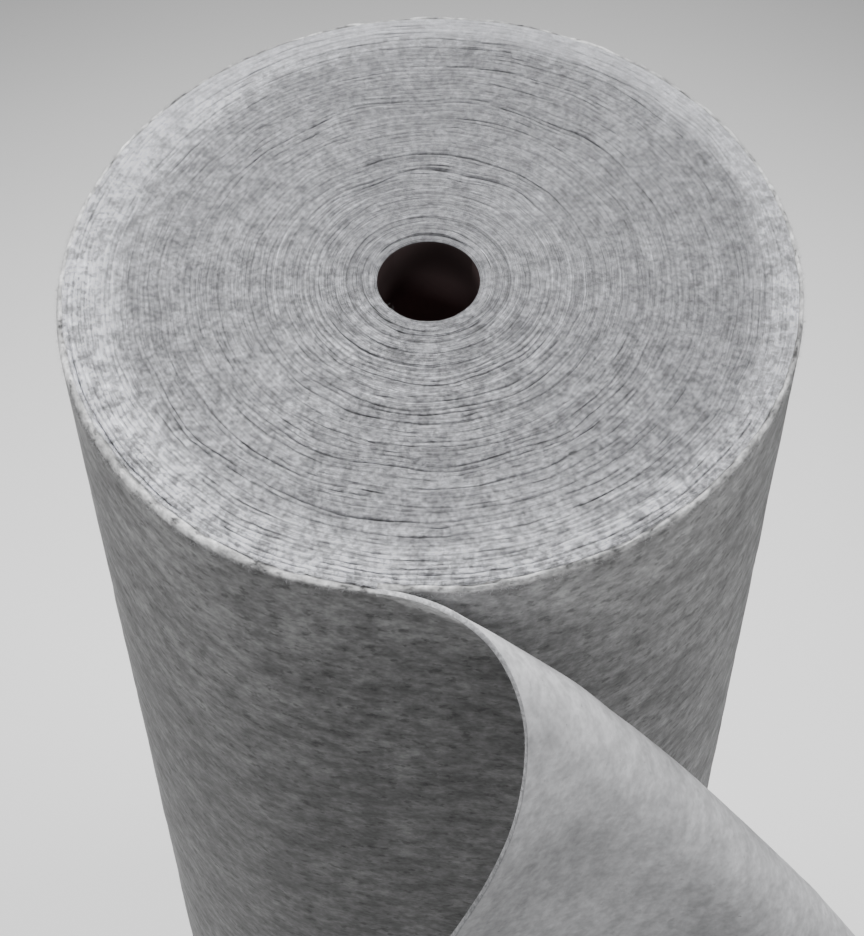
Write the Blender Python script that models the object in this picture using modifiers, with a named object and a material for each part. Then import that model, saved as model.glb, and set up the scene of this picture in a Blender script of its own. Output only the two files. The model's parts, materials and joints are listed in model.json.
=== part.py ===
# A roll of grey surface protection felt, standing on one end, with its loose end turned back at the top.
#
# The roll is one solid of its wound form: a spiral outline with a step of one felt thickness where the
# outermost turn leaves it, a hole right through, and an upper end whose turns are uneven.
# The loose end is one sheet. It leaves the roll at a tangent and stands on the floor. Its upper corner
# curls over a sloping ridge and hangs down in front.
import bpy
import bmesh
import math
from mathutils import Vector

# Driving dimensions, in metres and degrees round from +X
ROLL_RADIUS = 0.1800
HOLE_RADIUS = 0.0250
WEB_WIDTH = 1.0000
FELT_THICKNESS = 0.0026
SEAT_GAP = 0.0003
LEAVE_ANGLE = -96.2
LOOSE_LENGTH = 0.3400
FOOT_BOW = 0.0450

# The roll's axis, placed so that the origin is under the middle of the whole part
ROLL_AXIS = (-0.0726, 0.0587)

# Edges and relief of the wound form
FOOT_ROUNDING = 0.0040
LIP_ROUNDING = 0.0015
GROOVE_HALF_WIDTH = 0.0028
CROWN_RADIUS = 0.1660
CROWN_HEIGHT = 0.0012
GROOVE_SWAY = 0.0012
ROLL_SECTIONS = 96

# Steps of the loose end: along its length, up to the ridge, and over the ridge to its upper edge
LOOSE_COLUMNS = 30
ROWS_BELOW = 8
ROWS_ABOVE = 28
ROW_CROWDING = 1.5
RIDGE_STEP = 0.005

FELT_GREY = (0.36, 0.36, 0.37, 1.0)
INNER_FACE_GREY = (0.48, 0.48, 0.49, 1.0)
FELT_ROUGHNESS = 0.95

# How far the outline stands out of round
OUT_OF_ROUND = (
    {"angle": -96.2, "bulge": 0.0000},
    {"angle": -60.0, "bulge": 0.0000},
    {"angle": -20.0, "bulge": 0.0022},
    {"angle": 20.0, "bulge": 0.0034},
    {"angle": 55.0, "bulge": 0.0030},
    {"angle": 95.0, "bulge": 0.0004},
    {"angle": 140.0, "bulge": -0.0018},
    {"angle": 180.0, "bulge": -0.0004},
    {"angle": 215.0, "bulge": 0.0014},
    {"angle": 243.0, "bulge": 0.0028},
    {"angle": 258.0, "bulge": 0.0004},
    {"angle": 263.8, "bulge": 0.0000},
)

# Turns of the upper end that have sunk, each a shallow groove round the hole
SUNK_TURNS = (
    {"radius": 0.0630, "depth": 0.0022, "lobes": 2, "first": 20.0},
    {"radius": 0.0800, "depth": 0.0018, "lobes": 3, "first": 75.0},
    {"radius": 0.1120, "depth": 0.0024, "lobes": 2, "first": 140.0},
    {"radius": 0.1405, "depth": 0.0020, "lobes": 3, "first": 10.0},
    {"radius": 0.1600, "depth": 0.0016, "lobes": 2, "first": 60.0},
)

# The rounding of the upper rim: how far in from the outline, and how far above the web's edge
RIM = (
    {"inward": 0.0040, "height": 0.0010},
    {"inward": 0.0010, "height": -0.0010},
    {"inward": 0.0000, "height": -0.0040},
)

# The loose end's ridge, from the upper corner at the roll down to the cut end: how steeply it falls,
# the radius of the curl over it, and how far the sheet turns before it hangs straight
RIDGE = (
    {"along": 0.00, "slope": 35.9, "radius": 0.0340, "turn": 123.4},
    {"along": 0.07, "slope": 41.6, "radius": 0.0275, "turn": 139.0},
    {"along": 0.16, "slope": 53.0, "radius": 0.0230, "turn": 153.0},
    {"along": 0.32, "slope": 59.2, "radius": 0.0267, "turn": 164.5},
    {"along": 0.66, "slope": 67.0, "radius": 0.0262, "turn": 178.0},
)


def read_table(table, key, column, at):
    """The value of a column at a place between the rows, on a smooth curve through them."""
    last = len(table) - 1
    places = [row[key] for row in table]
    values = [row[column] for row in table]
    at = min(max(at, places[0]), places[last])
    low = max(i for i in range(last) if places[i] <= at)

    def tangent(i):
        before = max(i - 1, 0)
        after = min(i + 1, last)
        return (values[after] - values[before]) / (places[after] - places[before])

    span = places[low + 1] - places[low]
    f = (at - places[low]) / span
    rise = values[low] * (1 + 2 * f) * (1 - f) ** 2 + values[low + 1] * f * f * (3 - 2 * f)
    bend = tangent(low) * f * (1 - f) ** 2 + tangent(low + 1) * f * f * (f - 1)
    return rise + bend * span


def make_felt(name, colour):
    material = bpy.data.materials.new(name)
    material.use_nodes = True
    shader = material.node_tree.nodes["Principled BSDF"]
    shader.inputs["Base Color"].default_value = colour
    shader.inputs["Roughness"].default_value = FELT_ROUGHNESS
    shader.inputs["Metallic"].default_value = 0.0
    material.diffuse_color = colour
    return material


def add_part(name, mesh, colour, collection, parent):
    part = bpy.data.objects.new(name, mesh)
    collection.objects.link(part)
    part.parent = parent
    mesh.materials.append(make_felt(name + "_felt", colour))
    mesh.shade_smooth()
    mesh.set_sharp_from_angle(angle=math.radians(35.0))
    return part


# The wound roll

def roll_section(turned):
    """The closed outline, in radius and height, at an angle turned round from where the sheet leaves."""
    angle = LEAVE_ANGLE + turned
    bulge = read_table(OUT_OF_ROUND, "angle", "bulge", angle)
    swell = (ROLL_RADIUS + bulge - HOLE_RADIUS) / (ROLL_RADIUS - HOLE_RADIUS)
    outer = ROLL_RADIUS + bulge - (FELT_THICKNESS + SEAT_GAP) * (1.0 - turned / 360.0)

    outline = [
        (HOLE_RADIUS + LIP_ROUNDING, 0.0),
        (HOLE_RADIUS, LIP_ROUNDING),
        (HOLE_RADIUS, WEB_WIDTH - LIP_ROUNDING),
        (HOLE_RADIUS + LIP_ROUNDING, WEB_WIDTH),
    ]
    for turn in SUNK_TURNS:
        sway = GROOVE_SWAY * math.sin(math.radians(turn["lobes"] * angle + turn["first"]))
        middle = HOLE_RADIUS + (turn["radius"] - HOLE_RADIUS) * swell + sway
        outline.append((middle - GROOVE_HALF_WIDTH, WEB_WIDTH))
        outline.append((middle, WEB_WIDTH - turn["depth"]))
        outline.append((middle + GROOVE_HALF_WIDTH, WEB_WIDTH))
    crown = HOLE_RADIUS + (CROWN_RADIUS - HOLE_RADIUS) * swell
    outline.append((crown, WEB_WIDTH + CROWN_HEIGHT))
    for point in RIM:
        outline.append((outer - point["inward"], WEB_WIDTH + point["height"]))
    outline.append((outer, FOOT_ROUNDING))
    outline.append((outer - FOOT_ROUNDING, 0.0))
    return outline, math.radians(angle)


def build_wound_roll():
    """Sections lofted once round. The first and last meet at the hole and part at the outermost turn."""
    shell = bmesh.new()
    rings = []
    for step in range(ROLL_SECTIONS + 1):
        outline, angle = roll_section(360.0 * step / ROLL_SECTIONS)
        ring = []
        for radius, height in outline:
            ring.append(shell.verts.new((radius * math.cos(angle), radius * math.sin(angle), height)))
        rings.append(ring)
    for first, second in zip(rings, rings[1:] + rings[:1]):
        for i, vertex in enumerate(first):
            after = (i + 1) % len(first)
            shell.faces.new((vertex, first[after], second[after], second[i]))
    bmesh.ops.remove_doubles(shell, verts=shell.verts, dist=0.000001)
    bmesh.ops.recalc_face_normals(shell, faces=shell.faces)
    mesh = bpy.data.meshes.new("wound_roll")
    shell.to_mesh(mesh)
    shell.free()
    return mesh


# The loose end

def trace_ridge():
    """Points down the ridge: its distance, how far out along the sheet, its height and its slope."""
    points = []
    distance = 0.0
    out = 0.0
    height = WEB_WIDTH
    while distance <= RIDGE[-1]["along"]:
        slope = math.radians(read_table(RIDGE, "along", "slope", distance + RIDGE_STEP / 2))
        points.append((distance, out, height, slope))
        out += RIDGE_STEP * math.cos(slope)
        height -= RIDGE_STEP * math.sin(slope)
        distance += RIDGE_STEP
    return points


def ridge_height(ridge, out):
    """The ridge's height at a distance out along the sheet."""
    for near, far in zip(ridge, ridge[1:]):
        if far[1] >= out:
            return near[2] + (far[2] - near[2]) * (out - near[1]) / (far[1] - near[1])
    return ridge[-1][2]


def square_foot(ridge, out, height):
    """The place on the ridge that a point of the flat sheet lies square above."""
    for near, far in zip(ridge, ridge[1:]):
        ahead_far = (out - far[1]) * math.cos(far[3]) - (height - far[2]) * math.sin(far[3])
        if ahead_far <= 0.0:
            ahead_near = (out - near[1]) * math.cos(near[3]) - (height - near[2]) * math.sin(near[3])
            f = max(ahead_near, 0.0) / (max(ahead_near, 0.0) - ahead_far + 1e-12)
            return [a + (b - a) * f for a, b in zip(near, far)]
    return list(ridge[-1])


def drape(ridge, out, height):
    """Where a point of the flat sheet lies: standing below the ridge, curled and hanging above it."""
    turned = math.radians(LEAVE_ANGLE)
    away = Vector((math.cos(turned), math.sin(turned), 0.0))
    along = Vector((-math.sin(turned), math.cos(turned), 0.0))
    up = Vector((0.0, 0.0, 1.0))
    start = away * (ROLL_RADIUS - FELT_THICKNESS / 2) + along * SEAT_GAP
    top = ridge_height(ridge, out)
    if height <= top:
        sunk = 1.0 - (height / top) ** 2
        bow = FOOT_BOW * (out / LOOSE_LENGTH) ** 2 * sunk ** 2
        return start + along * out + up * height - away * bow
    distance, foot_out, foot_height, slope = square_foot(ridge, out, height)
    over = along * math.sin(slope) + up * math.cos(slope)
    length = math.hypot(out - foot_out, height - foot_height)
    radius = read_table(RIDGE, "along", "radius", distance)
    turn = math.radians(read_table(RIDGE, "along", "turn", distance))
    curled = min(length / radius, turn)
    straight = length - curled * radius
    rise = radius * math.sin(curled) + straight * math.cos(curled)
    reach = radius * (1.0 - math.cos(curled)) + straight * math.sin(curled)
    return start + along * foot_out + up * foot_height + over * rise + away * reach


def build_loose_end():
    """The sheet's middle surface. Its rows crowd together over the ridge, where it bends."""
    ridge = trace_ridge()
    sheet = bmesh.new()
    columns = []
    for step in range(LOOSE_COLUMNS + 1):
        out = LOOSE_LENGTH * step / LOOSE_COLUMNS
        bend = min(ridge_height(ridge, out) - 0.008, WEB_WIDTH - 0.030)
        heights = [bend * i / ROWS_BELOW for i in range(ROWS_BELOW)]
        for i in range(ROWS_ABOVE + 1):
            heights.append(bend + (WEB_WIDTH - bend) * (i / ROWS_ABOVE) ** ROW_CROWDING)
        columns.append([sheet.verts.new(drape(ridge, out, height)) for height in heights])
    for near, far in zip(columns, columns[1:]):
        for i in range(len(near) - 1):
            sheet.faces.new((near[i], far[i], far[i + 1], near[i + 1]))
    bmesh.ops.recalc_face_normals(sheet, faces=sheet.faces)
    mesh = bpy.data.meshes.new("loose_end")
    sheet.to_mesh(mesh)
    sheet.free()
    return mesh


def add_thickness(part):
    solidify = part.modifiers.new("felt", "SOLIDIFY")
    solidify.thickness = FELT_THICKNESS
    solidify.offset = 0.0


def main():
    for thing in list(bpy.data.objects):
        bpy.data.objects.remove(thing, do_unlink=True)
    collection = bpy.data.collections.new("protection_felt_roll")
    bpy.context.scene.collection.children.link(collection)
    axis = bpy.data.objects.new("roll_axis", None)
    axis.location = (ROLL_AXIS[0], ROLL_AXIS[1], 0.0)
    collection.objects.link(axis)
    add_part("wound_roll", build_wound_roll(), FELT_GREY, collection, axis)
    loose_end = add_part("loose_end", build_loose_end(), INNER_FACE_GREY, collection, axis)
    add_thickness(loose_end)


main()
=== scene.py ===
import bpy
import json
import math
import numpy as np
from mathutils import Matrix, Vector

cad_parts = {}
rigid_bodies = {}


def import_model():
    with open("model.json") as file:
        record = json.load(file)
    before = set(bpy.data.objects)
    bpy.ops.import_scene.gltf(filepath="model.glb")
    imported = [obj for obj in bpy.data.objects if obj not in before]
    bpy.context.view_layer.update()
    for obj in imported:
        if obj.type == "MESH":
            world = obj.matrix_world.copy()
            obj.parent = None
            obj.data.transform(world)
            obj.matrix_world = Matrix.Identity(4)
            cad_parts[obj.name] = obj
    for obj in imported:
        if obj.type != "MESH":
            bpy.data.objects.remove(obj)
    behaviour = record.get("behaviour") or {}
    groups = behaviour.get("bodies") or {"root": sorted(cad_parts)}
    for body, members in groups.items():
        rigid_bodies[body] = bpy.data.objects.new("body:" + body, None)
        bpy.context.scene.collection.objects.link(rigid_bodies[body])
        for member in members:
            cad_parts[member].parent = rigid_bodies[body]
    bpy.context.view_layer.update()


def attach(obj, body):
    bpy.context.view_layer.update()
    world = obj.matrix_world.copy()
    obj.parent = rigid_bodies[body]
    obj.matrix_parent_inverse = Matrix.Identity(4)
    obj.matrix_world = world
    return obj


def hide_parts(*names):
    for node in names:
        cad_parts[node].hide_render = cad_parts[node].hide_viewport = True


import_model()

# A roll of grey protection felt on end, with its loose end turned back at the top.
# Metres, +Z up. The roll's axis stands left of and behind the middle of the floor box.
print("frame loaded")

roll = {
    "axis": (-0.0726, 0.0587),
    "radius": 0.18, "hole": 0.025, "height": 1.0, "felt": 0.0026, "turns": 60,
    "leaveAngle": -96.2,  # where the outermost turn leaves the roll, degrees from +X
    "columns": 384,  # steps once round
}
roll["pitch"] = (roll["radius"] - roll["hole"]) / roll["turns"]
fullTurn = 2 * math.pi

# How far the outline stands out of round: angle, bulge
outOfRound = [
    (-96.2, 0.0), (-60.0, 0.0), (-20.0, 0.0022), (20.0, 0.0034), (55.0, 0.003), (95.0, 0.0004),
    (140.0, -0.0018), (180.0, -0.0004), (215.0, 0.0014), (243.0, 0.0028), (258.0, 0.0004), (263.8, 0.0),
]
# How much of that is the outermost turn alone, standing off the one inside it: angle, gap
slackTurn = [
    (-96.2, 0.0), (170.0, 0.0), (205.0, 0.0009), (240.0, 0.0019), (256.0, 0.0008), (263.8, 0.0),
]


# Small helpers

weldReach = 0.00001  # vertices closer than this are one


def deselectAll():
    bpy.ops.object.select_all(action="DESELECT")


def activate(piece):
    deselectAll()
    piece.select_set(True)
    bpy.context.view_layer.objects.active = piece


def readTable(table, at):
    # a smooth curve through rows of place and value, for one place or an array of them
    places, values = np.array(table).T
    at = np.clip(np.asarray(at, dtype=float), places[0], places[-1])
    slopes = np.empty(len(places))
    slopes[1:-1] = (values[2:] - values[:-2]) / (places[2:] - places[:-2])
    slopes[0] = (values[1] - values[0]) / (places[1] - places[0])
    slopes[-1] = (values[-1] - values[-2]) / (places[-1] - places[-2])
    low = np.clip(np.searchsorted(places, at, side="right") - 1, 0, len(places) - 2)
    span = places[low + 1] - places[low]
    f = (at - places[low]) / span
    rise = values[low] * (1 + 2 * f) * (1 - f) ** 2 + values[low + 1] * f * f * (3 - 2 * f)
    return rise + span * (slopes[low] * f * (1 - f) ** 2 + slopes[low + 1] * f * f * (f - 1))


def softStep(low, high, x):
    # 0 at low, 1 at high and smooth between them, also where low is the higher one
    f = np.clip((x - low) / (high - low), 0.0, 1.0)
    return f * f * (3 - 2 * f)


def facing(angle, middle, none, full):
    # 1 within full degrees of the middle direction, fading to 0 at none degrees from it
    return softStep(none, full, np.abs((angle - middle + 180.0) % 360.0 - 180.0))


def unevenness(x, y, seed, wrap=0):
    # smooth random hills about one unit across, from -1 to 1; wrap repeats them along x
    cells = 256
    heights = np.random.default_rng(seed).uniform(-1.0, 1.0, (cells, cells))
    cellX = np.floor(x).astype(int)
    cellY = np.floor(y).astype(int)
    fx = softStep(0.0, 1.0, x - cellX)
    fy = softStep(0.0, 1.0, y - cellY)
    nextX = cellX + 1
    nextY = (cellY + 1) % cells
    if wrap:
        cellX, nextX = cellX % wrap, nextX % wrap
    cellX, nextX, cellY = cellX % cells, nextX % cells, cellY % cells
    lower = heights[cellX, cellY] * (1 - fx) + heights[nextX, cellY] * fx
    upper = heights[cellX, nextY] * (1 - fx) + heights[nextX, nextY] * fx
    return lower * (1 - fy) + upper * fy


def alongWeb(length, rows):
    # unevenness along the web alone, the sum of rows that say how much, how far along and the seed
    return sum(much * unevenness(length / size, length * 0, seed) for much, size, seed in rows)


def addGrid(name, columns, rows):
    # a grid, with the column and the row of each vertex, read from where the primitive put it
    deselectAll()
    bpy.ops.mesh.primitive_grid_add(x_subdivisions=columns, y_subdivisions=rows, size=1.0)
    piece = bpy.context.object
    piece.name = name
    piece.data.name = name
    places = readAll(piece.data.vertices, "co", 3)
    column = np.rint((places[:, 0] + 0.5) * columns).astype(int)
    row = np.rint((places[:, 1] + 0.5) * rows).astype(int)
    return piece, column, row


def readAll(parts, key, width=1, kind=float):
    # one value, or one row of them, for each vertex, edge, face or corner
    values = np.empty(len(parts) * width, dtype=kind)
    parts.foreach_get(key, values)
    return values.reshape(-1, width) if width > 1 else values


def setPlaces(piece, places):
    piece.data.vertices.foreach_set("co", places.ravel())
    piece.data.update()


def setAround(piece, away, radius, z):
    # places by direction and distance from the roll's axis
    x = roll["axis"][0] + radius * np.cos(away)
    y = roll["axis"][1] + radius * np.sin(away)
    setPlaces(piece, np.stack([x, y, z], axis=-1))


def cornersOf(piece):
    return readAll(piece.data.loops, "vertex_index", kind=np.int32)


def faceRows(piece, row):
    # the lowest of the grid's rows that each face touches
    return row[cornersOf(piece)].reshape(-1, 4).min(axis=1)


def setMap(piece, u, v):
    # the piece's own map, in metres: u along the web, v across it
    layer = piece.data.uv_layers[0]
    layer.name = "webMap"
    layer.uv.foreach_set("vector", np.stack([u, v], axis=-1)[cornersOf(piece)].ravel())


def setAttribute(piece, name, values):
    attribute = piece.data.attributes.new(name, "FLOAT", "POINT")
    attribute.data.foreach_set("value", np.asarray(values, dtype=np.float32))


def finishShading(piece, angle):
    activate(piece)
    bpy.ops.object.shade_smooth_by_angle(angle=math.radians(angle))


def switchTo(mode):
    bpy.ops.object.mode_set(mode=mode)


def weld(piece):
    activate(piece)
    switchTo("EDIT")
    bpy.ops.mesh.select_all(action="SELECT")
    bpy.ops.mesh.remove_doubles(threshold=weldReach)
    switchTo("OBJECT")


def closeAndTurnOut(piece):
    activate(piece)
    switchTo("EDIT")
    bpy.ops.mesh.select_all(action="SELECT")
    bpy.ops.mesh.fill_holes(sides=0)
    bpy.ops.mesh.select_all(action="SELECT")
    bpy.ops.mesh.normals_make_consistent(inside=False)
    switchTo("OBJECT")


# Camera, where the photograph was taken from

view = {
    "place": (-0.05414, -0.63748, 1.8356),
    "heading": 1.444,  # degrees about Z
    "tilt": 34.98,  # degrees up from straight down
    "lean": -0.483,  # degrees about the line of sight
    "lens": 86.34, "sensor": 36.0, "clip": (0.01, 60.0),
}


def addCamera():
    deselectAll()
    bpy.ops.object.camera_add(location=view["place"])
    camera = bpy.context.object
    camera.name = "front_camera"
    turn = (Matrix.Rotation(math.radians(view["heading"]), 4, "Z")
            @ Matrix.Rotation(math.radians(view["tilt"]), 4, "X")
            @ Matrix.Rotation(math.radians(view["lean"]), 4, "Z"))
    camera.rotation_euler = turn.to_euler()
    camera.data.lens = view["lens"]
    camera.data.sensor_width = view["sensor"]
    camera.data.clip_start, camera.data.clip_end = view["clip"]
    bpy.context.scene.camera = camera


addCamera()


# Lights and floor

studio = {
    "floorSize": 9.0, "floorTone": (0.92, 0.92, 0.92),
    # painted shade on the floor: darker away from the roll
    "floorPaintedFalloff": 0.205,  # how much of that is left away from the roll
    "floorPaintedFalloffSpan": (0.35, 1.6),  # distance from the roll where that begins and ends
    "floorClouds": 0.9, "cloudTone": (0.97, 1.03),
    "floorLook": {"Roughness": 0.9, "Specular IOR Level": 0.1},
    "world": 0.06,
    "lights": [
        {"name": "top_panel", "place": (-0.9, 3.2, 5.8), "aim": (-0.07, 0.05, 1.0),
         "size": (3.2, 2.6), "power": 580.0},
        {"name": "front_panel", "place": (-0.4, -0.8, 1.66), "aim": (-0.05, -0.05, 0.95),
         "size": (0.5, 0.3), "power": 3.4},
        {"name": "right_panel", "place": (3.3, -0.3, 2.2), "aim": (0.25, 0.05, 0.4),
         "size": (2.0, 2.0), "power": 110.0},
        {"name": "left_panel", "place": (-3.4, 0.7, 2.2), "aim": (-0.35, 0.1, 0.3),
         "size": (2.0, 2.0), "power": 57.0},
    ],
}


grainSpan = (0.3, 0.7)  # the part of a noise's range that its grains fill


def addNode(material, kind, inputs=None, **settings):
    # one node, with its own settings and the values of its sockets
    node = material.node_tree.nodes.new(kind)
    for key, value in settings.items():
        setattr(node, key, value)
    for key, value in (inputs or {}).items():
        node.inputs[key].default_value = value
    return node


def join(material, source, target):
    material.node_tree.links.new(source, target)


def newMaterial(name, look):
    material = bpy.data.materials.new(name)
    material.use_nodes = True
    material.node_tree.nodes.clear()
    output = addNode(material, "ShaderNodeOutputMaterial")
    shader = addNode(material, "ShaderNodeBsdfPrincipled", look)
    join(material, shader.outputs["BSDF"], output.inputs["Surface"])
    return material, shader


def addNoise(material, coordinates, size, detail=2.0, roughness=0.5, offset=(0.0, 0.0, 0.0)):
    # noise whose grains are about size metres along each coordinate
    mapping = addNode(material, "ShaderNodeMapping")
    mapping.inputs["Location"].default_value = offset
    mapping.inputs["Scale"].default_value = tuple(1.0 / part for part in size)
    join(material, coordinates, mapping.inputs["Vector"])
    look = {"Scale": 1.0, "Detail": detail, "Roughness": roughness}
    noise = addNode(material, "ShaderNodeTexNoise", look)
    join(material, mapping.outputs["Vector"], noise.inputs["Vector"])
    return noise.outputs["Fac"]


def addRange(material, value, low, high, outLow=0.0, outHigh=1.0):
    limits = {"From Min": low, "From Max": high, "To Min": outLow, "To Max": outHigh}
    node = addNode(material, "ShaderNodeMapRange", limits, interpolation_type="SMOOTHSTEP")
    join(material, value, node.inputs["Value"])
    return node.outputs["Result"]


def feed(material, socket, value):
    # a number, a colour or another node's output
    if isinstance(value, (int, float)):
        socket.default_value = value
    elif isinstance(value, tuple):
        socket.default_value = (*value, 1.0)
    else:
        join(material, value, socket)


def addMath(material, operation, first, second):
    node = addNode(material, "ShaderNodeMath", operation=operation)
    feed(material, node.inputs[0], first)
    feed(material, node.inputs[1], second)
    return node.outputs["Value"]


def addMix(material, amount, first, second, blend="MIX"):
    node = addNode(material, "ShaderNodeMix", data_type="RGBA", blend_type=blend)
    # the places of the colour sockets among those of every kind
    for index, value in ((0, amount), (6, first), (7, second)):
        feed(material, node.inputs[index], value)
    return node.outputs[2]


def readAttribute(material, name):
    return addNode(material, "ShaderNodeAttribute", attribute_name=name).outputs["Fac"]


def objectPlace(material):
    return addNode(material, "ShaderNodeTexCoord").outputs["Object"]


def addStudio():
    deselectAll()
    bpy.ops.mesh.primitive_plane_add(size=studio["floorSize"], location=(0.0, 0.0, 0.0))
    floor = bpy.context.object
    floor.name = "studio_floor"
    material, shader = newMaterial("pale_floor", studio["floorLook"])
    coordinates = objectPlace(material)
    clouds = addNoise(material, coordinates, 3 * (studio["floorClouds"],), 1.0)
    tone = addRange(material, clouds, *grainSpan, *studio["cloudTone"])
    apart = addNode(material, "ShaderNodeVectorMath", operation="DISTANCE")
    join(material, coordinates, apart.inputs[0])
    apart.inputs[1].default_value = (*roll["axis"], 0.0)
    # painted shade: the floor's tone falls away with distance from the roll
    fade = addRange(material, apart.outputs["Value"], *studio["floorPaintedFalloffSpan"], 1.0, studio["floorPaintedFalloff"])
    tone = addMath(material, "MULTIPLY", tone, fade)
    colour = addMix(material, 1.0, studio["floorTone"], tone, "MULTIPLY")
    join(material, colour, shader.inputs["Base Color"])
    floor.data.materials.append(material)
    for row in studio["lights"]:
        deselectAll()
        bpy.ops.object.light_add(type="AREA", location=row["place"])
        light = bpy.context.object
        light.name = row["name"]
        light.data.shape = "RECTANGLE"
        light.data.size, light.data.size_y = row["size"]
        light.data.energy = row["power"]
        aim = Vector(row["aim"]) - Vector(row["place"])
        light.rotation_euler = aim.to_track_quat("-Z", "Y").to_euler()
    world = bpy.data.worlds.new("studio_air")
    world.use_nodes = True
    air = world.node_tree.nodes["Background"].inputs
    air["Color"].default_value = (1.0, 1.0, 1.0, 1.0)
    air["Strength"].default_value = studio["world"]
    bpy.context.scene.world = world


addStudio()
print("camera, floor and lights placed")


# Felt finishes. Each follows webMap, the piece's own map in metres: u along the web, v across it.
# A layer darkens and lightens the tone in grains of its size, flecks change it here and there. Where
# its row doesn't say, a layer lies on the web's map, has a detail of 2 and doesn't rise.

finishes = {
    "outerFace": {
        "name": "felt_outer_face", "tone": (0.181, 0.181, 0.182), "relief": 0.0006,
        "layers": [
            {"size": (0.0064, 0.005), "tone": (0.78, 1.22), "rise": 0.6},
            {"size": (0.0026, 0.002), "tone": (0.87, 1.13), "rise": 0.3},
            {"size": (0.015, 0.011), "tone": (0.73, 1.26)},
            {"size": (0.045, 0.03), "tone": (0.8, 1.18)},
        ],
        "flecks": [
            {"size": (0.0075, 0.0054), "span": (0.55, 0.67), "factor": 0.54},
            {"size": (0.022, 0.015), "span": (0.54, 0.7), "factor": 0.74},
        ],
        "rimFactor": 2.1, "gapShadeTone": (0.02, 0.019, 0.02),
    },
    "innerFace": {
        "name": "felt_inner_face", "tone": (0.48, 0.481, 0.495), "relief": 0.0004,
        "layers": [
            {"size": (0.01, 0.009), "tone": (0.84, 1.14), "rise": 0.5},
            {"size": (0.0034, 0.0036), "detail": 3.0, "tone": (0.89, 1.1), "rise": 0.5},
            {"size": (0.05, 0.04), "tone": (0.88, 1.1)},
        ],
        "flecks": [
            {"size": (0.006, 0.007), "span": (0.62, 0.74), "factor": 0.82},
            {"size": (0.003, 0.0034), "span": (0.7, 0.76), "factor": 0.62},
        ],
        "gapShadeTone": (0.02, 0.019, 0.02),
    },
    "cutEdge": {
        "name": "felt_cut_edge", "tone": (0.33, 0.333, 0.354), "relief": 0.0011,
        "layers": [
            {"size": (0.0078, 0.0013), "detail": 1.0, "tone": (0.34, 1.74), "rise": 0.6},
            {"size": (0.0034, 0.001), "detail": 1.0, "tone": (0.44, 1.6), "rise": 0.5},
            {"on": "object", "size": 3 * (0.0028,), "tone": (0.68, 1.33), "rise": 0.6},
            {"size": (0.0022, 0.0012), "detail": 1.0, "tone": (0.74, 1.29), "rise": 0.5},
            {"on": "object", "size": 3 * (0.0085,), "tone": (0.74, 1.27)},
            {"size": (0.03, 0.006), "tone": (0.78, 1.2)},
        ],
        "flecks": [
            {"size": (0.011, 0.002), "span": (0.6, 0.71), "factor": 0.6},
            {"size": (0.007, 0.0011), "span": (0.59, 0.7), "factor": 1.5},
        ],
        "gapShadeTone": (0.056, 0.055, 0.058),
    },
    "sheetEdge": {
        "name": "felt_sheet_edge", "tone": (0.38, 0.382, 0.394), "relief": 0.0009,
        "layers": [
            {"on": "object", "size": 3 * (0.0034,), "tone": (0.76, 1.2), "rise": 0.6},
            {"on": "object", "size": 3 * (0.0015,), "tone": (0.8, 1.2), "rise": 0.5},
            {"on": "object", "size": 3 * (0.012,), "tone": (0.92, 1.08)},
        ],
        "flecks": [],
        "gapShadeTone": (0.034, 0.033, 0.035),
    },
}
# What they share
felt = {
    "roughness": 0.6,  # of every noise
    "layerShift": ((7.0, 2.0, 0.0), (3.0, 5.0, 1.0)),  # the first one's place, the next one's step
    "fleckShift": ((31.0, 17.0, 0.0), (11.0, -6.0, 0.0)),
    "darkest": 0.12, "line": (0.003, 0.0022, 1.0), "lineDepth": 0.7, "lineSpan": (0.5, 1.2),
    "bridges": (0.0036, 0.0016, 1.0), "bridgeSpan": (0.38, 0.6), "bridged": (0.12, 1.12),
    "gapShadeMost": 0.88, "bump": 0.8, "shine": (0.9, 1.0),
    "plain": {"Specular IOR Level": 0.12, "Sheen Weight": 0.22, "Sheen Roughness": 0.55},
}


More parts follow.
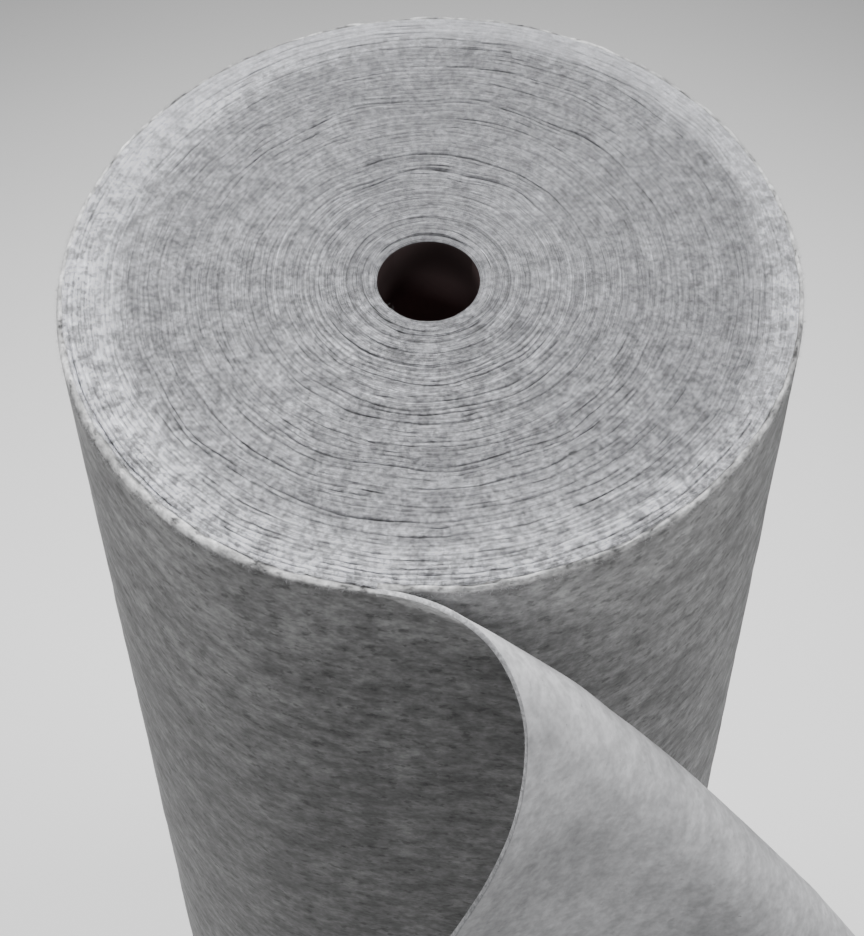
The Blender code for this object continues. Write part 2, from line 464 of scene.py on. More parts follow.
def addFelt(look):
    material, shader = newMaterial(look["name"], felt["plain"])
    web = addNode(material, "ShaderNodeUVMap", uv_map="webMap").outputs["UV"]
    spaces = {"web": web, "object": objectPlace(material)}

    def times(first, second):
        return addMath(material, "MULTIPLY", first, second)

    def plus(first, second):
        return addMath(material, "ADD", first, second)

    def grains(space, size, detail, start, step, index):
        offset = [first + index * more for first, more in zip(start, step)]
        return addNoise(material, space, (*size, 1.0)[:3], detail, felt["roughness"], offset)

    factor = 1.0
    height = None
    grain = None
    for index, layer in enumerate(look["layers"]):
        space = spaces[layer.get("on", "web")]
        grain = grains(space, layer["size"], layer.get("detail", 2.0), *felt["layerShift"], index)
        factor = times(factor, addRange(material, grain, *grainSpan, *layer["tone"]))
        rise = times(grain, layer.get("rise", 0.0))
        height = rise if height is None else plus(height, rise)
    for index, fleck in enumerate(look["flecks"]):
        mark = grains(web, fleck["size"], 3.0, *felt["fleckShift"], index)
        factor = times(factor, addRange(material, mark, *fleck["span"], 1.0, fleck["factor"]))
    # how strongly the grain shows there, then the place's tone and painted light and shade
    factor = times(addMath(material, "SUBTRACT", factor, 1.0), readAttribute(material, "crisp"))
    factor = addMath(material, "MAXIMUM", plus(factor, 1.0), felt["darkest"])
    factor = times(factor, readAttribute(material, "toneAndPaintedLight"))
    if "rimFactor" in look:
        # towards the cut edge the fibres stand up and turn pale, along an uneven line
        line = addNoise(material, web, felt["line"], 3.0, felt["roughness"], (3.0, 8.0, 0.0))
        cut = plus(readAttribute(material, "cut"), times(line, felt["lineDepth"]))
        factor = times(factor, addRange(material, cut, *felt["lineSpan"], 1.0, look["rimFactor"]))
    colour = addMix(material, 1.0, look["tone"], factor, "MULTIPLY")
    # painted shade in the gaps between the turns, broken where fibres bridge them here and there
    bridges = addNoise(material, web, felt["bridges"], 2.0, felt["roughness"], (5.0, 3.0, 0.0))
    bridges = addRange(material, bridges, *felt["bridgeSpan"], *felt["bridged"])
    gap = addMath(material, "MINIMUM", times(readAttribute(material, "gap"), bridges), felt["gapShadeMost"])
    colour = addMix(material, gap, colour, look["gapShadeTone"])
    join(material, colour, shader.inputs["Base Color"])
    bump = addNode(material, "ShaderNodeBump", {"Strength": felt["bump"], "Distance": look["relief"]})
    join(material, height, bump.inputs["Height"])
    join(material, bump.outputs["Normal"], shader.inputs["Normal"])
    join(material, addRange(material, grain, *grainSpan, *felt["shine"]), shader.inputs["Roughness"])
    return material


outerFace = addFelt(finishes["outerFace"])
innerFace = addFelt(finishes["innerFace"])
cutEdge = addFelt(finishes["cutEdge"])
sheetEdge = addFelt(finishes["sheetEdge"])


# The bore is painted in shade: near black a little way below a painted lit lip, and lighter deeper down
bore = {
    "lip": 0.004, "lipTone": (0.11, 0.1, 0.1),
    "fibres": (0.003, 0.003, 0.006), "fibreTone": (0.6, 1.0),
    "wall": (0.055, 0.012),  # depths where the wall's tone changes
    "deepTone": (0.18, 0.125, 0.125), "nearTone": (0.036, 0.025, 0.025),
    "plain": {"Roughness": 0.95, "Specular IOR Level": 0.05},
}


def addBoreFinish():
    material, shader = newMaterial("felt_bore_shadow", bore["plain"])
    place = objectPlace(material)
    parts = addNode(material, "ShaderNodeSeparateXYZ")
    join(material, place, parts.inputs["Vector"])
    height = parts.outputs["Z"]
    top = roll["height"]
    depth = addRange(material, height, top - bore["lip"], top)
    fibres = addNoise(material, place, bore["fibres"], 4.0, 0.6)
    lit = addMath(material, "MULTIPLY", depth, addRange(material, fibres, *grainSpan, *bore["fibreTone"]))
    near = addRange(material, height, *(top - part for part in bore["wall"]))
    wall = addMix(material, near, bore["deepTone"], bore["nearTone"])
    join(material, addMix(material, lit, wall, bore["lipTone"]), shader.inputs["Base Color"])
    return material


boreShadow = addBoreFinish()
print("felt finishes mixed")


# The wound end: the turns of the web seen on edge, closely wound, standing a little high and low

windings = {
    "top": (0.36, 0.64),  # shares of a turn where the cut edge's rounded top has its rows
    "shoulder": 0.00028,  # how far the top falls towards a gap
    "crownRadius": 0.166, "crownHeight": 0.0012, "crownWidth": 0.014,
    "lipFall": 0.0016, "lipWidth": 0.004, "lipSink": 0.0005,
    "drift": 0.00035,  # turns stand this much high or low
    "lies": ((1.0, 0.16, 31), (0.6, 0.045, 32)),
    "lumps": 0.00022, "lumpLength": 0.006,
    "swayCells": 44, "swayDepth": 0.011, "sway": 0.0008,  # neighbouring turns sway together
    "swayFrom": (0.03, 0.12), "swayTo": (0.176, 0.168),
    "wander": ((0.0005, 0.014, 0.9, 13), (0.00028, 0.006, 1.1, 14)),
    "skirt": 0.02,  # how deep the turns are modelled
    "split": 30,  # the turn where one piece ends and the next starts
    # painted shade in the gaps: how dark, between turns, in front, where opened and beside
    "between": 0.19, "betweenFront": 0.31,  # how dark the line between two turns is at least
    "opened": 0.7, "beside": 0.22,
    "front": (0.3, -0.9),  # where the front starts and is full, by the sine of the direction
    "footTop": (0.5,), "footClear": 0.0012, "footShare": 0.6, "footColumns": 160,
}
# Where turns have come apart or buckled: radius, middle and half spread in degrees, how far they
# open, how much they sway, in how many waves round
looseTurns = [
    (0.118, 90.0, 66.0, 1.4, 0.0011, 11),
    (0.069, 88.0, 66.0, 1.15, 0.001, 9),
    (0.08, 95.0, 50.0, 0.8, 0.0006, 7),
    (0.08, -85.0, 60.0, 0.7, 0.0007, 8),
    (0.1405, -125.0, 42.0, 0.82, 0.0009, 10),
    (0.1275, -120.0, 38.0, 0.75, 0.0006, 9),
    (0.112, -88.0, 55.0, 0.76, 0.0013, 12),
    (0.0625, -80.0, 60.0, 0.7, 0.0008, 7),
    (0.174, -145.0, 26.0, 1.2, 0.0002, 3),
]
loosening = {"full": 0.45, "reach": 0.0075, "phase": 900.0, "within": (0.75, 0.25), "outwards": 1.5}
# How far the gaps open, from 0 to 1, by place and by chance, and the shape that this gives them
gaps = {
    "least": 0.03, "front": 0.27, "sides": -0.04,
    "rim": (0.15, 0.165), "rimFront": 0.4, "rimBack": -0.45,
    "chance": ((0.3, 0.021, 11), (0.62, 0.0064, 12)), "calm": 0.75,
    "curve": 1.2, "most": 0.58,
    "loose": 0.54, "looseChance": ((0.4, 0.009, 15),),
    "half": (0.11, 0.13, 0.03),
    "depth": (0.00026, 0.0014, 0.002), "depthCurve": 1.3,
}
# How pale the end is and how much its grain shows there
endLook = {
    "front": (-95.0, 75.0, 20.0), "left": (175.0, 100.0, 20.0),  # as facing reads them
    "ring": (0.154, 0.169), "ringLeft": (-0.012, -0.008), "ragged": ((0.0045, 0.034, 73),),
    "ringTone": 0.9, "ringToneLeft": 0.34,
    "band": (0.141, 0.147), "bandEnd": (0.163, 0.158), "bandTone": 0.38,
    "inner": (0.05, 0.09), "innerLeft": 0.18, "innerFront": 0.12,
    "own": ((0.09, 0.18, 71), (0.07, 0.024, 72)),
    "crispFront": ((0.2, -0.9), 0.28), "crispLeft": ((-0.2, -0.9), 0.1), "crispBack": ((0.1, 0.8), -0.15),
    "proud": (0.158, 0.166), "proudCrisp": 0.3, "proudBack": -0.45,
}


def windingPlace(turn, turned):
    # turn counts from the hole, turned is the part of a circle gone round from the leave line
    angle = roll["leaveAngle"] + 360.0 * turned
    plain = roll["hole"] + roll["pitch"] * np.maximum(turn, 0.0)
    bulge = readTable(outOfRound, angle) - readTable(slackTurn, angle)
    outwards = (plain - roll["hole"]) / (roll["radius"] - roll["hole"])
    radius = plain + bulge * outwards ** loosening["outwards"]
    away = np.radians(angle)
    length = fullTurn * (roll["hole"] * turn + roll["pitch"] * turn * turn / 2)
    opened = np.zeros_like(radius)
    sway = np.zeros_like(radius)
    far, near = (part * roll["pitch"] for part in loosening["within"])
    for place, middle, spread, widest, much, waves in looseTurns:
        window = facing(angle, middle, spread, spread * loosening["full"])
        off = plain - place
        wave = np.sin(waves * away + place * loosening["phase"])
        sway += much * window * np.exp(-(off / loosening["reach"]) ** 2) * wave
        opened = np.maximum(opened, widest * window * softStep(far, near, np.abs(off)))
    together = softStep(*windings["swayTo"], plain) * softStep(*windings["swayFrom"], plain)
    cells = windings["swayCells"]
    together = together * unevenness(turned * cells, plain / windings["swayDepth"], 16, cells)
    return angle, radius + sway + windings["sway"] * together, length, opened


def wander(turn, length):
    # the turns don't lie on one another quite evenly
    rows = windings["wander"]
    sway = sum(much * unevenness(length / size, turn * across, seed) for much, size, across, seed in rows)
    return sway * softStep(0.0, 2.0, turn)


def gapAt(turn, turned):
    # the gap on a turn's inner side: where it lies, how far it has opened, its half width and depth
    turn = np.maximum(turn, 0.0)
    angle, radius, length, opened = windingPlace(turn, turned)
    away = np.radians(angle)
    front = softStep(*windings["front"], np.sin(away))
    sides = 0.5 + 0.5 * np.cos(2.0 * away)
    rim = gaps["rimFront"] * front + gaps["rimBack"] * (1.0 - front) * (1.0 - sides)
    rim = rim * softStep(*gaps["rim"], radius)
    gaping = gaps["least"] + gaps["front"] * front + gaps["sides"] * sides + rim
    lively = gaps["calm"] + (1.0 - gaps["calm"]) * front
    gaping = np.clip(gaping + lively * alongWeb(length, gaps["chance"]), 0.0, 1.0) ** gaps["curve"]
    loose = opened * (gaps["loose"] + alongWeb(length, gaps["looseChance"]))
    gaping = np.minimum(np.maximum(gaping * gaps["most"], loose), 1.0)
    least, more, moreLoose = gaps["half"]
    half = least + more * gaping + moreLoose * opened
    least, more, moreLoose = gaps["depth"]
    depth = least + more * gaping ** gaps["depthCurve"] + moreLoose * opened * gaping
    return angle, radius + wander(turn, length), length, gaping, half, depth


def endTone(turn, length, angle):
    # paler where the outer turns stand proud, a paler band in front, and each turn a little its own
    radius = roll["hole"] + roll["pitch"] * turn
    front = facing(angle, *endLook["front"])
    left = facing(angle, *endLook["left"])
    low, high = (edge + more * left for edge, more in zip(endLook["ring"], endLook["ringLeft"]))
    ring = softStep(low, high, radius + alongWeb(length, endLook["ragged"]))
    band = front * softStep(*endLook["band"], radius) * softStep(*endLook["bandEnd"], radius)
    tone = (endLook["ringTone"] + endLook["ringToneLeft"] * left) * ring + endLook["bandTone"] * band
    inner = endLook["innerLeft"] * left + endLook["innerFront"] * front
    return 1.0 + tone + inner * softStep(*endLook["inner"], radius) + alongWeb(length, endLook["own"])


def endCrisp(angle, radius):
    # the grain shows most in front and least at the back, least of all on the proud turns there
    aside, ahead = np.cos(np.radians(angle)), np.sin(np.radians(angle))
    crisp = 1.0
    for key, part in (("crispFront", ahead), ("crispLeft", aside), ("crispBack", ahead)):
        span, more = endLook[key]
        crisp = crisp + more * softStep(*span, part)
    back = softStep(*endLook["crispBack"][0], ahead)
    proud = endLook["proudCrisp"] * (1.0 - back) + endLook["proudBack"] * back
    return crisp + proud * softStep(*endLook["proud"], radius)


def endHeight(radius, length):
    # the lie of the end as a whole, above the web's width
    off = (radius - windings["crownRadius"]) / windings["crownWidth"]
    lip = windings["lipFall"] * softStep(windings["lipWidth"], 0.0, radius - roll["hole"])
    own = windings["drift"] * alongWeb(length, windings["lies"])
    return windings["crownHeight"] * np.exp(-off ** 2) - lip + own


def windEnd(name, firstTurn, lastTurn, columns=roll["columns"], top=windings["top"], upper=True):
    perTurn = len(top) + 3  # a gap, its far edge, the top, the next gap's near edge
    face = (lastTurn - firstTurn) * perTurn
    piece, column, row = addGrid(name, columns, face + 3)
    turned = column / columns
    edge = np.clip(row - 1, 0, face)  # rows 1 to face + 1 lie on the end, the others below
    part = edge % perTurn
    gapTurn = firstTurn + edge // perTurn - 1 + turned
    angle, gapRadius, gapLength, gaping, half, depth = gapAt(gapTurn, turned)
    away = np.radians(angle)
    share = np.array((0.0, 0.0, *top, 0.0))[part]
    share = np.select([part == 1, part == perTurn - 1], [half, 1.0 - half], share)
    turn = np.maximum(gapTurn + share, 0.0)
    radius, length = windingPlace(turn, turned)[1:3]
    radius = radius + wander(turn, length)
    lumps = windings["lumps"] * unevenness(length / windings["lumpLength"], turn * 2.7, 21)
    height = endHeight(gapRadius, gapLength) + np.where(part == 0, -depth, lumps)
    beside = (part == 1) | (part == perTurn - 1)
    height = height - np.where(beside, windings["shoulder"] * (0.5 + gaping), 0.0)
    lip = endHeight(roll["hole"] + 0 * radius, 0 * length) - windings["lipSink"]
    z = roll["height"] + np.where(gapTurn + share < 0.0, lip, height)
    # the hidden rows under the end close the piece: inner foot, outer foot, inner foot again
    hidden = (row == 0) | (row >= face + 2)
    inner = roll["hole"] + roll["pitch"] * max(firstTurn - 1, 0)
    outer = roll["hole"] + roll["pitch"] * (lastTurn - 1)
    radius = np.select([(row == 0) | (row == face + 3), row == face + 2], [inner, outer], radius)
    if upper:
        z = np.where(hidden, roll["height"] - windings["skirt"], z)
    else:
        z = np.maximum(roll["height"] + windings["footClear"] - z, 0.0) * windings["footShare"]
        z = np.where(hidden, windings["skirt"], z)
    setAround(piece, away, radius, z)
    setMap(piece, length, turn * roll["pitch"])
    front = softStep(*windings["front"], np.sin(away))
    # painted shade in the gap rows and beside them, darker in front and where the gap has opened
    dark = windings["between"] + windings["betweenFront"] * front + windings["opened"] * gaping
    setAttribute(piece, "gap", np.select([part == 0, beside], [dark, windings["beside"] * dark], 0.0))
    setAttribute(piece, "toneAndPaintedLight", endTone(turn, length, angle))
    setAttribute(piece, "crisp", endCrisp(angle, radius))
    piece.data.materials.append(cutEdge)
    if firstTurn == 0:
        # under the lip of the hole it is the bore
        piece.data.materials.append(boreShadow)
        onBore = faceRows(piece, row) == 0
        piece.data.polygons.foreach_set("material_index", onBore.astype(np.int32))
    weld(piece)
    closeAndTurnOut(piece)
    finishShading(piece, 80.0)
    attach(piece, "root")
    return piece


innerTurns = windEnd("end_inner_turns", 0, windings["split"])
outerTurns = windEnd("end_outer_turns", windings["split"], roll["turns"] - 1)
print("wound end made")


# The roll's body: the outermost turn with its rim, side and foot, and the bore

body = {
    # across the outermost turn's top: share of the turn, height from the web's edge, how pale
    "rim": [(0.0, 0.0, 1.0), (0.14, -0.0003, 1.0), (0.3, 0.0, 1.0), (0.5, 0.0001, 1.0),
            (0.74, -0.0003, 1.0), (0.9, -0.0011, 0.9), (0.98, -0.0022, 0.55), (1.0, -0.004, 0.12)],
    # the same where the web leaves: squarer, as the loose end's own edge is
    "leaving": [0.0, -0.0004, 0.0, 0.0, 0.0, -0.0002, -0.0008, -0.002],
    "foot": [(0.0, 0.004), (0.0005, 0.0018), (0.0016, 0.0005), (0.0024, 0.0)],  # inward, height
    "columns": 512, "sideRows": 124, "rowCurve": 1.2,
    "fray": ((0.0008, 0.013, 41), (0.0008, 0.0055, 42)),
    "unevenness": 0.00035,
    "waves": ((1.0, 36, 0.03, 51), (0.6, 90, 0.012, 52)),  # how much, waves round, how high, seed
    # painted light on the side in front, just under the rim
    "paintedTopLight": 0.3, "paintedTopLightHeights": (0.9, 0.985), "paintedTopLightFacing": (-95.0, 80.0, 35.0),
    # painted light lower down too, left of where the web leaves
    "paintedLowLight": 0.22, "paintedLowLightHeights": (0.74, 0.9), "paintedLowLightFacing": (-120.0, 45.0, 10.0),
    # gap: painted shade in the rim's gap row, least and more as it opens
    "gap": (0.06, 0.92), "rimTone": 0.32, "rimCrisp": 0.5, "rimSink": 0.0003,
}


def windBody():
    rim, foot, sides = body["rim"], body["foot"], body["sideRows"]
    start = 3 + len(rim)
    end = start + sides + len(foot)
    piece, column, row = addGrid("roll_body", body["columns"], end + 2)
    turned = column / body["columns"]
    last = roll["turns"]
    angle, outer, length = windingPlace(last - 1 + turned, turned)[:3]
    gap = gapAt(last - 2 + turned, turned)
    inner, gaping, depth = gap[1], gap[3], gap[5]
    # the outermost turn stands a little off the one inside it where it is slack
    outer = outer + readTable(slackTurn, angle)
    radius = np.zeros(len(row))
    z = np.zeros(len(row))
    hidden = roll["hole"] + roll["pitch"] * (last - 2)
    upper, lower = roll["height"] - windings["skirt"], windings["skirt"]
    closing = ((0, roll["hole"], upper), (1, hidden, upper), (2, inner, upper),
               (end, inner, lower), (end + 1, hidden, lower), (end + 2, roll["hole"], lower))
    for step, reach, height in closing:
        radius = np.where(row == step, reach, radius)
        z = np.where(row == step, height, z)
    rimLie = endHeight(inner, gap[2])
    fray = alongWeb(length, body["fray"])
    leaving = softStep(0.9, 1.0, turned)
    covered = softStep(0.05, 0.0, turned)  # where the next turn still lies on this one
    for index, (share, height, pale) in enumerate(rim):
        at = row == 3 + index
        height = height + (body["leaving"][index] - height) * leaving[at]
        height = height * (1.0 - 0.9 * covered[at]) - (depth[at] if index == 0 else 0.0)
        radius[at] = inner[at] + (outer[at] - inner[at]) * share
        lie = (rimLie[at] - body["rimSink"] * (index > 0)) * min(1.0, 2.0 * (1.0 - share))
        lie = lie + fray[at] * (1.0 - 0.5 * share) * (index > 0)
        z[at] = roll["height"] + height + lie * (1.0 - leaving[at])
    top = roll["height"] + rim[-1][1]
    at = (row >= start) & (row < start + sides)
    fall = ((row[at] - start + 1) / (sides + 1)) ** body["rowCurve"]
    z[at] = top + (foot[0][1] - top) * fall
    soft = np.minimum(1.0, 6.0 * np.minimum(fall, 1.0 - fall))
    waves = sum(much * unevenness(turned[at] * around, z[at] / high, seed, around)
                for much, around, high, seed in body["waves"])
    seam = softStep(0.0, 0.03, turned[at]) * softStep(1.0, 0.97, turned[at])
    radius[at] = outer[at] + body["unevenness"] * waves * soft * seam
    for index, (inset, height) in enumerate(foot):
        at = row == start + sides + index
        radius[at] = outer[at] - inset
        z[at] = height
    return piece, column, row, turned, angle, length, radius, z, gaping


def closeBore(piece):
    # bridges the body's two open rings round the hole with the bore's wall
    weld(piece)
    places = readAll(piece.data.vertices, "co", 3)
    reach = np.hypot(places[:, 0] - roll["axis"][0], places[:, 1] - roll["axis"][1])
    ends = readAll(piece.data.edges, "vertices", 2, np.int32)
    onRing = (reach < roll["hole"] + 0.0001)[ends].all(axis=1)
    switchTo("EDIT")
    bpy.ops.mesh.select_mode(type="EDGE")
    bpy.ops.mesh.select_all(action="DESELECT")
    switchTo("OBJECT")
    piece.data.edges.foreach_set("select", onRing)
    switchTo("EDIT")
    bpy.ops.mesh.bridge_edge_loops()
    piece.active_material_index = 1
    bpy.ops.object.material_slot_assign()
    switchTo("OBJECT")


def finishBody():
    piece, column, row, turned, angle, length, radius, z, gaping = windBody()
    setAround(piece, np.radians(angle), radius, z)
    u = (turned - 1.0) * fullTurn * roll["radius"]
    rimStart = 3
    rimEnd = 3 + len(body["rim"])
    # over the rim the map goes on in step with the surface
    v = z.copy()
    for step in range(rimEnd - 1, rimStart - 1, -1):
        here = np.flatnonzero(row == step)[np.argsort(column[row == step])]
        below = np.flatnonzero(row == step + 1)[np.argsort(column[row == step + 1])]
        v[here] = v[below] + np.hypot(radius[here] - radius[below], z[here] - z[below])
    setMap(piece, u, v)
    # painted shade in the rim's gap row, full in the hidden rows under it
    dark = body["gap"][0] + body["gap"][1] * gaping
    setAttribute(piece, "gap", np.select([row == rimStart, row < rimStart], [dark, 1.0], 0.0))
    pale = np.zeros(row.max() + 1)
    pale[:rimStart] = 1.0
    pale[rimStart:rimEnd] = [part[2] for part in body["rim"]]
    pale = pale[row]
    setAttribute(piece, "cut", pale)
    # the rim takes part of the end's tone; the side in front has painted light just under the rim, and a
    # patch of painted light lower down at the left
    paintedLightTone = body["paintedTopLight"] * facing(angle, *body["paintedTopLightFacing"]) * softStep(*body["paintedTopLightHeights"], z)
    paintedLightTone = paintedLightTone + body["paintedLowLight"] * facing(angle, *body["paintedLowLightFacing"]) * softStep(*body["paintedLowLightHeights"], z)
    tone = endTone(roll["turns"] - 1 + turned, length, angle) - 1.0
    setAttribute(piece, "toneAndPaintedLight", 1.0 + body["rimTone"] * tone * pale ** 2 + paintedLightTone * (1.0 - pale))
    setAttribute(piece, "crisp", 1.0 + body["rimCrisp"] * pale)
    for material in (outerFace, boreShadow):
        piece.data.materials.append(material)
    # the last strip of faces, under the foot, is the bore's too
    onBore = faceRows(piece, row) >= row.max() - 1
    piece.data.polygons.foreach_set("material_index", onBore.astype(np.int32))
    closeBore(piece)
    closeAndTurnOut(piece)
    finishShading(piece, 60.0)
    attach(piece, "root")
    return piece


rollBody = finishBody()
footTurns = windEnd("foot_turns", 0, roll["turns"] - 1,
                    windings["footColumns"], windings["footTop"], False)
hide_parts("wound_roll")
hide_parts("wound_roll")
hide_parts("wound_roll")
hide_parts("wound_roll")
print("roll body made")


# The loose end: a sheet that leaves the roll, bows back to its foot and curls over along a ridge

looseEnd = {
    "length": 0.34, "width": 1.0, "rooted": 0.006,  # how far back its start is sunk under the roll's skin
    "columns": 104, "rows": 300,
    "footBow": 0.045, "ridgeStep": 0.005, "rootFall": 0.0016, "rowCurve": 1.35,
    "unevenness": 0.0006, "waves": ((1.0, 0.05, 0.04, 61), (0.5, 0.02, 0.016, 62)),
    "strip": 0.0034, "stripMore": 0.012, "stripAt": 0.034, "stripSpread": 0.026, "stripFrom": 0.016,
    "paintedTopLightOut": (0.14, 0.03), "paintedLowLightOut": (0.05, 0.0), "paintedLowLightShare": 0.75,
    # painted shade and a band of painted light on the turned-back corner
    "shade": 0.29, "shadeOut": (0.145, 0.19), "shadeDepth": (0.095, 0.02),
    "band": 0.22, "bandAt": (0.135, 0.042), "bandSlope": 1.16, "bandSpread": 0.028,
    "bandOut": (0.1, 0.13), "bandEnd": (0.215, 0.19),
    "bevel": 0.0007, "bevelAngle": 60.0,
}
# The ridge that the sheet turns back over: places along it, each with its slope and with the
# radius and the turn of the curl
ridge = {
    "slope": [(0.0, 35.9), (0.07, 41.6), (0.16, 53.0), (0.32, 59.2), (0.66, 67.0)],
    "radius": [(0.0, 0.034), (0.07, 0.0275), (0.16, 0.023), (0.32, 0.0267), (0.66, 0.0262)],
    "turn": [(0.0, 123.4), (0.07, 139.0), (0.16, 153.0), (0.32, 164.5), (0.66, 178.0)],
}
# Where the sheet leaves the roll: the way out of the roll's skin, and the way that the sheet goes
leave = math.radians(roll["leaveAngle"])
outward = np.array((math.cos(leave), math.sin(leave), 0.0))
onward = np.array((-math.sin(leave), math.cos(leave), 0.0))


def traceRidge():
    # points down the ridge: distance, out along the sheet, height, slope
    points = []
    distance = 0.0
    out = 0.0
    height = looseEnd["width"]
    step = looseEnd["ridgeStep"]
    while distance <= ridge["slope"][-1][0]:
        slope = math.radians(float(readTable(ridge["slope"], distance + step / 2)))
        points.append((distance, out, height, slope))
        out += step * math.cos(slope)
        height -= step * math.sin(slope)
        distance += step
    return np.array(points)


def layLooseEnd(out, height):
    # where points of the flat sheet lie: bowed back below the ridge, curled and hanging above it
    line = traceRidge()
    distance, ridgeOut, ridgeHeight, slope = line.T
    top = np.interp(out, ridgeOut, ridgeHeight)
    ahead = (out[:, None] - ridgeOut) * np.cos(slope) - (height[:, None] - ridgeHeight) * np.sin(slope)
    behind = ahead <= 0.0
    far = np.clip(np.where(behind.any(axis=1), behind.argmax(axis=1), len(line) - 1), 1, None)
    near = far - 1
    pick = np.arange(len(out))
    aheadNear = np.maximum(ahead[pick, near], 0.0)
    f = np.clip(aheadNear / (aheadNear - np.minimum(ahead[pick, far], 0.0) + 1e-12), 0.0, 1.0)
    f = np.where(behind[:, 0], 0.0, f)
    foot = line[near] + (line[far] - line[near]) * f[:, None]
    radius = readTable(ridge["radius"], foot[:, 0])
    turn = np.radians(readTable(ridge["turn"], foot[:, 0]))
    length = np.hypot(out - foot[:, 1], height - foot[:, 2])
    curled = np.minimum(length / radius, turn)
    straight = length - curled * radius
    rise = radius * np.sin(curled) + straight * np.cos(curled)
    reach = radius * (1.0 - np.cos(curled)) + straight * np.sin(curled)
    standing = height <= top
    bow = looseEnd["footBow"] * (out / looseEnd["length"]) ** 2
    bow = bow * (1.0 - np.minimum(height / top, 1.0) ** 2) ** 2
    up = np.array((0.0, 0.0, 1.0))
    start = outward * (roll["radius"] - roll["felt"] / 2) + np.array((*roll["axis"], 0.0))
    flat = start + onward * out[:, None] + up * height[:, None] - outward * bow[:, None]
    over = onward * np.sin(foot[:, 3])[:, None] + up * np.cos(foot[:, 3])[:, None]
    turned = start + onward * foot[:, 1][:, None] + up * foot[:, 2][:, None]
    turned = turned + over * rise[:, None] + outward * reach[:, None]
    return np.where(standing[:, None], flat, turned)


def hangLooseEnd():
    columns, rows = looseEnd["columns"], looseEnd["rows"]
    piece, column, row = addGrid("loose_end_sheet", columns, rows)
    out = np.interp(column, (0, 2, columns), (-looseEnd["rooted"], 0.0, looseEnd["length"]))
    # closer rows towards the top edge
    height = looseEnd["width"] * (1.0 - (1.0 - row / rows) ** looseEnd["rowCurve"])
    places = layLooseEnd(np.maximum(out, 0.0), height)
    back = np.minimum(out, 0.0)
    fall = looseEnd["rootFall"] * (back / looseEnd["rooted"]) ** 2
    sunk = fall + back * back / (2 * roll["radius"])
    places += onward * back[:, None] - outward * sunk[:, None]
    places[:, 2] -= fall * softStep(0.9, 1.0, height / looseEnd["width"])
    setPlaces(piece, places)
    setMap(piece, out, height)
    setAttribute(piece, "gap", np.zeros(len(out)))
    # the pale strip under the top edge widens where the edge starts to roll outward
    depth = looseEnd["width"] - height
    wider = np.exp(-((out - looseEnd["stripAt"]) / looseEnd["stripSpread"]) ** 2)
    strip = looseEnd["strip"] + looseEnd["stripMore"] * wider * softStep(0.0, looseEnd["stripFrom"], out)
    setAttribute(piece, "cut", softStep(1.0, 0.45, depth / strip))
    # by the roll it takes on the side's painted light
    paintedLightTone = body["paintedTopLight"] * softStep(*body["paintedTopLightHeights"], height) * softStep(*looseEnd["paintedTopLightOut"], out)
    paintedLowLight = looseEnd["paintedLowLightShare"] * body["paintedLowLight"] * softStep(*body["paintedLowLightHeights"], height)
    paintedLightTone = paintedLightTone + paintedLowLight * softStep(*looseEnd["paintedLowLightOut"], out)
    # the turned-back corner has painted shade at its edge and a band of painted light beside it
    shade = softStep(*looseEnd["shadeOut"], out) * softStep(*looseEnd["shadeDepth"], depth)
    bandOut, bandDepth = looseEnd["bandAt"]
    off = (depth - bandDepth - looseEnd["bandSlope"] * (out - bandOut)) / looseEnd["bandSpread"]
    band = np.exp(-off ** 2) * softStep(*looseEnd["bandOut"], out) * softStep(*looseEnd["bandEnd"], out)
    setAttribute(piece, "toneAndPaintedLight", 1.0 + paintedLightTone + looseEnd["band"] * band - looseEnd["shade"] * shade)
    setAttribute(piece, "crisp", np.ones(len(out)))
    # a little soft unevenness, square to the sheet
    normals = readAll(piece.data.vertices, "normal", 3)
    soft = sum(much * unevenness(out / wide, height / high, seed)
               for much, wide, high, seed in looseEnd["waves"])
    soft = looseEnd["unevenness"] * soft * softStep(0.0, 0.03, out)
    setPlaces(piece, places + normals * soft[:, None])
    for material in (outerFace, innerFace, sheetEdge):
        piece.data.materials.append(material)
    activate(piece)
    thick = piece.modifiers.new("felt", "SOLIDIFY")
    thick.thickness = roll["felt"]
    thick.offset = 0.0
    thick.material_offset = 1
    thick.material_offset_rim = 2
    rounded = piece.modifiers.new("soft edge", "BEVEL")
    rounded.width = looseEnd["bevel"]
    rounded.segments = 2
    rounded.limit_method = "ANGLE"
    rounded.angle_limit = math.radians(looseEnd["bevelAngle"])
    for modifier in ("felt", "soft edge"):
        bpy.ops.object.modifier_apply(modifier=modifier)
    finishShading(piece, 50.0)
    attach(piece, "root")
    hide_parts("loose_end")


hangLooseEnd()
print("loose end hung")


# Fuzz: single fibres that stand off the felt, each a thin closed spike with a bend in it

fuzz = {
    "sink": 0.0002,  # how deep a fibre is rooted
    "taper": 0.8,  # its thickness at the bend
    "bend": 0.14, "droop": 0.22,
    "largest": 0.0002,  # none on faces larger than this, which are hidden
    "tone": (0.46, 0.462, 0.472), "plain": {"Roughness": 0.85, "Specular IOR Level": 0.15},
}
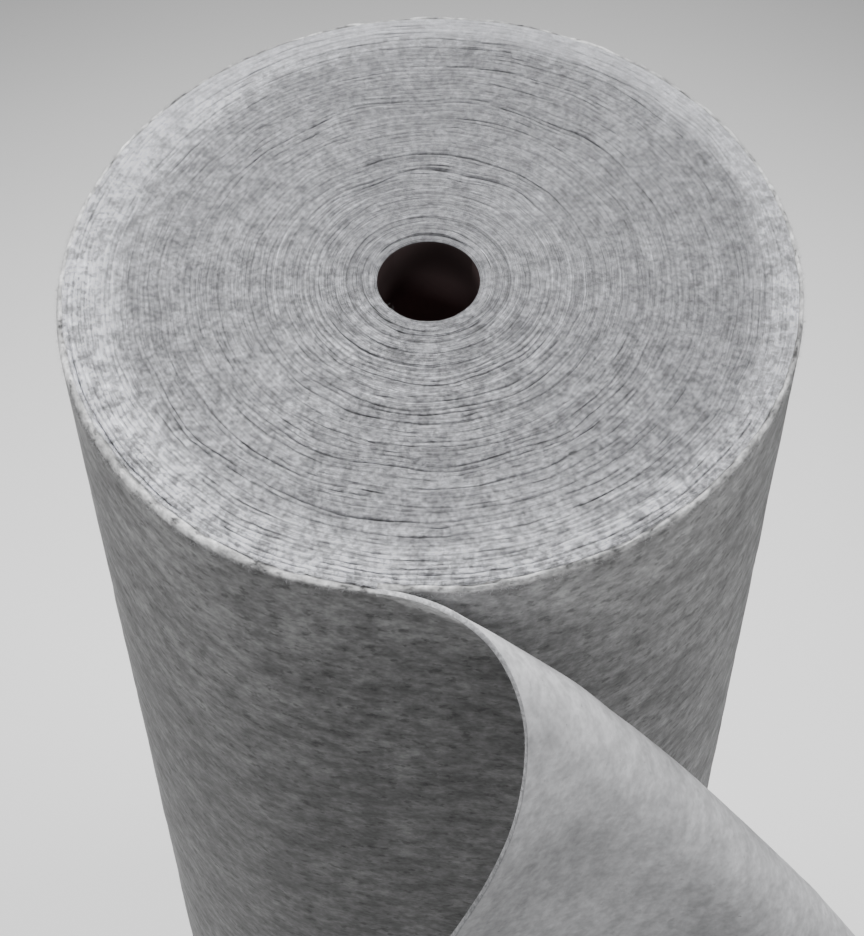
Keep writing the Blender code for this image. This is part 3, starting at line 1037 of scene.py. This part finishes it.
# Where they grow: piece, from what height up and perhaps to what height, on one of its finishes
# alone where one is named, how many, length, half thickness, how far they stand up, how pale
fuzzBeds = [
    {"on": "roll_body", "low": 0.9955,
     "count": 3200, "length": (0.0014, 0.0036), "thick": 0.000055, "lift": 0.55, "tone": (0.8, 1.3)},
    {"on": "roll_body", "low": 0.03, "high": 0.9955,
     "count": 4200, "length": (0.0012, 0.0028), "thick": 0.000045, "lift": 0.3, "tone": (0.35, 0.8)},
    {"on": "end_outer_turns", "low": 0.997,
     "count": 4200, "length": (0.0016, 0.0044), "thick": 0.00005, "lift": 0.14, "tone": (0.8, 1.6)},
    {"on": "end_inner_turns", "low": 0.997,
     "count": 1500, "length": (0.0014, 0.0036), "thick": 0.00005, "lift": 0.14, "tone": (0.8, 1.5)},
    {"on": "loose_end_sheet", "low": 0.7, "finish": 2,
     "count": 1800, "length": (0.001, 0.0026), "thick": 0.000045, "lift": 0.35, "tone": (0.6, 1.2)},
    {"on": "loose_end_sheet", "low": 0.03,
     "count": 2600, "length": (0.0012, 0.003), "thick": 0.000045, "lift": 0.3, "tone": (0.5, 1.0)},
]


def addFibreFinish():
    material, shader = newMaterial("felt_fibre", fuzz["plain"])
    colour = addMix(material, 1.0, fuzz["tone"], readAttribute(material, "toneAndPaintedLight"), "MULTIPLY")
    join(material, colour, shader.inputs["Base Color"])
    return material


def unit(vectors):
    return vectors / np.maximum(np.linalg.norm(vectors, axis=1, keepdims=True), 1e-9)


def growFibres(bed, random):
    # seven points for each fibre: three at its root, three at its bend, one at its tip
    faces = bpy.data.objects[bed["on"]].data.polygons
    centres = readAll(faces, "center", 3)
    normals = readAll(faces, "normal", 3)
    areas = readAll(faces, "area")
    height = centres[:, 2]
    grown = (height > bed["low"]) & (height < bed.get("high", np.inf)) & (areas < fuzz["largest"])
    if bed["low"] > 0.9:
        grown &= (normals[:, 2] > -0.2)
    if "finish" in bed:
        grown &= (readAll(faces, "material_index") == bed["finish"])
    count = bed["count"]
    pick = random.choice(len(areas), size=count, p=areas * grown / (areas * grown).sum())

    def chance(low=-1, high=1):
        return random.uniform(low, high, (count, 1))

    normal = unit(normals[pick])
    upright = np.where(np.abs(normal[:, 2:]) < 0.9, (0.0, 0.0, 1.0), (1.0, 0.0, 0.0))
    side = unit(np.cross(normal, upright))
    other = np.cross(normal, side)
    half = 0.5 * np.sqrt(areas[pick])[:, None]
    root = centres[pick] + side * chance() * half + other * chance() * half
    heading = chance(0.0, fullTurn)
    flat = side * np.cos(heading) + other * np.sin(heading)
    lift = bed["lift"] * chance(0.5, 1.5)
    along = unit(flat * (1.0 - bed["lift"]) + normal * lift)
    length = chance(*bed["length"])
    across = unit(np.cross(along, normal))
    above = np.cross(along, across)
    root = root - normal * fuzz["sink"]
    bend = root + along * length * 0.5 + across * length * chance() * fuzz["bend"]
    tip = root + along * length + across * length * chance() * 2 * fuzz["bend"]
    tip = tip - normal * length * fuzz["droop"] * lift
    points = np.empty((count, 7, 3))
    for corner in range(3):
        turn = fullTurn * corner / 3
        ring = (across * math.cos(turn) + above * math.sin(turn)) * bed["thick"]
        points[:, corner] = root + ring
        points[:, corner + 3] = bend + ring * fuzz["taper"]
    points[:, 6] = tip
    return points, np.repeat(random.uniform(*bed["tone"], count), 7)


def growFuzz():
    random = np.random.default_rng(91)
    grown = [growFibres(bed, random) for bed in fuzzBeds]
    points = np.concatenate([part[0] for part in grown])
    tones = np.concatenate([part[1] for part in grown])
    spike = ((0, 2, 1), (0, 1, 4, 3), (3, 4, 6), (1, 2, 5, 4), (4, 5, 6), (2, 0, 3, 5), (5, 3, 6))
    faces = [[first + corner for corner in face]
             for first in range(0, len(points) * 7, 7) for face in spike]
    mesh = bpy.data.meshes.new("felt_fuzz")
    mesh.from_pydata(points.reshape(-1, 3).tolist(), [], faces)
    mesh.update()
    piece = bpy.data.objects.new("felt_fuzz", mesh)
    bpy.context.scene.collection.objects.link(piece)
    piece.data.materials.append(addFibreFinish())
    setAttribute(piece, "toneAndPaintedLight", tones)
    activate(piece)
    bpy.ops.object.shade_smooth()
    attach(piece, "root")


growFuzz()
print("fuzz grown")
